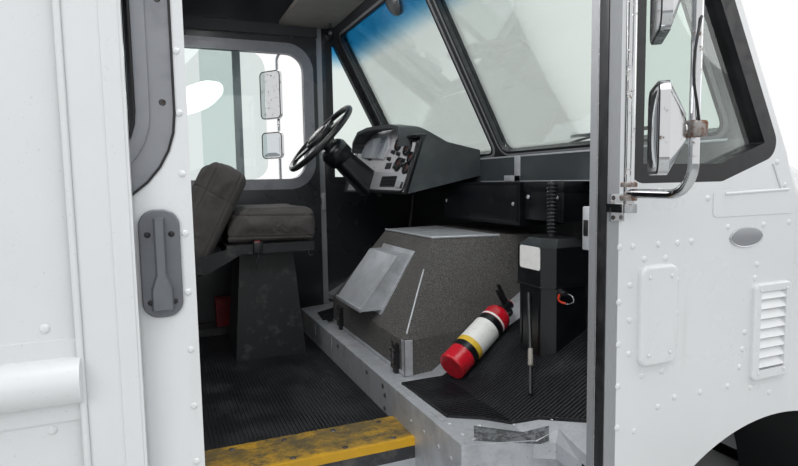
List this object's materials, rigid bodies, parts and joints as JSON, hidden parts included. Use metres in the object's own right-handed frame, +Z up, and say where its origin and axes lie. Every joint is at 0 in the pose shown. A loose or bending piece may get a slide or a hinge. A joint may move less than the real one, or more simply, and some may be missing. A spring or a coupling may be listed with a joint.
{
  "type": "food truck cab section",
  "caption": "Walk-in cab section of a step-van food truck, with sliding doors, engine cover, dash, driver's seat and mirrors.",
  "frame": {"origin": "bottom centre of the box round the whole cab section, level with the lower edge of the skirts", "axes": "+X forward, +Y to the driver's left side, +Z up"},
  "size_m": [3.28, 2.8921, 2.5],
  "materials": {
    "amber_lens": "ribbed amber lens",
    "black_plastic": "grained black moulding",
    "black_rubber": "matt black rubber",
    "bumper_black": "satin black paint",
    "carpet": "speckled dark grey needle felt",
    "cast_grey": "satin grey casting",
    "chrome_tube": "polished, pitted with age",
    "clear_glass": "clear safety glass",
    "dark_trim": "dark grey painted frame",
    "dash_plastic": "grained grey-green moulding",
    "extinguisher_red": "gloss red paint",
    "floor_sheet": "dull plate",
    "frame_black": "satin black paint",
    "frame_steel": "black painted steel",
    "grey_frame": "bluish grey worn window frame",
    "inner_lining": "satin grey lining sheet",
    "jamb_aluminium": "dull extruded aluminium",
    "kit_red": "dark red moulding",
    "lamp_lens": "clear fluted lens",
    "mat_rubber": "matt ribbed rubber",
    "nosing_yellow": "worn yellow paint on plate",
    "panel_silver": "silver grey panel",
    "plate_aluminium": "dull scuffed aluminium sheet",
    "seat_fabric": "brown-grey woven velour",
    "wheel_rubber": "satin grained rim",
    "white_moulding": "satin off-white gel coat on a glass-fibre moulding",
    "white_paint": "satin off-white paint on riveted aluminium sheet"
  },
  "bodies": {
    "root": {"amber_lamps": "amber_lens", "arch_liners": "black_plastic", "body_side_left": "white_paint", "body_side_right": "white_paint", "bulkhead": "inner_lining", "bumper": "bumper_black", "cover_box": "plate_aluminium", "cover_latches": "black_rubber", "dash_pod": "dash_plastic", "dash_shelf": "dash_plastic", "door_jambs": "jamb_aluminium", "door_pockets": "inner_lining", "electrical_box": "black_plastic", "engine_cover": "carpet", "extinguisher": "extinguisher_red", "firewall": "dark_trim", "fixed_glass": "clear_glass", "grille": "black_plastic", "headlamps": "lamp_lens", "instrument_panel": "panel_silver", "kit_box": "kit_red", "lubricator_box": "black_plastic", "main_floor": "floor_sheet", "mirror_brackets": "chrome_tube", "nose": "white_moulding", "overhead_panel": "inner_lining", "pedals": "black_rubber", "platform_deck": "plate_aluminium", "platform_riser": "plate_aluminium", "quarter_seals": "black_rubber", "roof": "white_paint", "rub_rails": "white_paint", "rubber_mats": "mat_rubber", "seat_cushion": "seat_fabric", "seat_frame": "frame_black", "seat_pedestal": "frame_black", "side_covers": "white_paint", "side_panel_left": "white_paint", "side_panel_right": "white_paint", "side_vents": "white_paint", "steering_column": "black_plastic", "step_nosing": "nosing_yellow", "step_well": "plate_aluminium", "underframe": "frame_steel", "windscreen_frame": "dark_trim"},
    "door_right": {"door_panel_right": "white_paint", "door_window_frame_right": "grey_frame", "door_glass_right": "clear_glass", "door_handle_right": "cast_grey"},
    "door_left": {"door_panel_left": "white_paint", "door_window_frame_left": "grey_frame", "door_glass_left": "clear_glass", "door_handle_left": "cast_grey"},
    "steering": {"steering_wheel": "wheel_rubber"},
    "seat_backrest": {"seat_back": "seat_fabric"},
    "hood": {"hood_lid": "white_moulding"},
    "mirror_right": {"mirror_arm_right": "chrome_tube", "mirror_heads_right": "chrome_tube"},
    "mirror_left": {"mirror_arm_left": "chrome_tube", "mirror_heads_left": "chrome_tube"}
  },
  "joints": [
    {"name": "door_right_slide", "type": "slide", "parent": "root", "child": "door_right", "axis": [1, 0, 0], "range_m": [0, 0.826]},
    {"name": "door_left_slide", "type": "slide", "parent": "root", "child": "door_left", "axis": [-1, 0, 0], "range_m": [0, 0.826]},
    {"name": "steering_turn", "type": "hinge", "parent": "root", "child": "steering", "pos_m": [0.142, 0.62, 1.412], "axis": [-0.7314, 0, 0.682], "range_deg": [-810, 810]},
    {"name": "backrest_recline", "type": "hinge", "parent": "root", "child": "seat_backrest", "pos_m": [-0.47, 0.62, 0.85], "axis": [0, -1, 0], "range_deg": [0, 39]},
    {"name": "hood_lift", "type": "hinge", "parent": "root", "child": "hood", "pos_m": [0.902, 0, 1.26838], "axis": [0, -1, 0], "range_deg": [0, 60]},
    {"name": "mirror_right_fold", "type": "hinge", "parent": "root", "child": "mirror_right", "pos_m": [0.287, -1.245, 1.5], "axis": [0, 0, 1], "range_deg": [-60, 30]},
    {"name": "mirror_left_fold", "type": "hinge", "parent": "root", "child": "mirror_left", "pos_m": [0.287, 1.245, 1.5], "axis": [0, 0, 1], "range_deg": [-72, 12]}
  ]
}
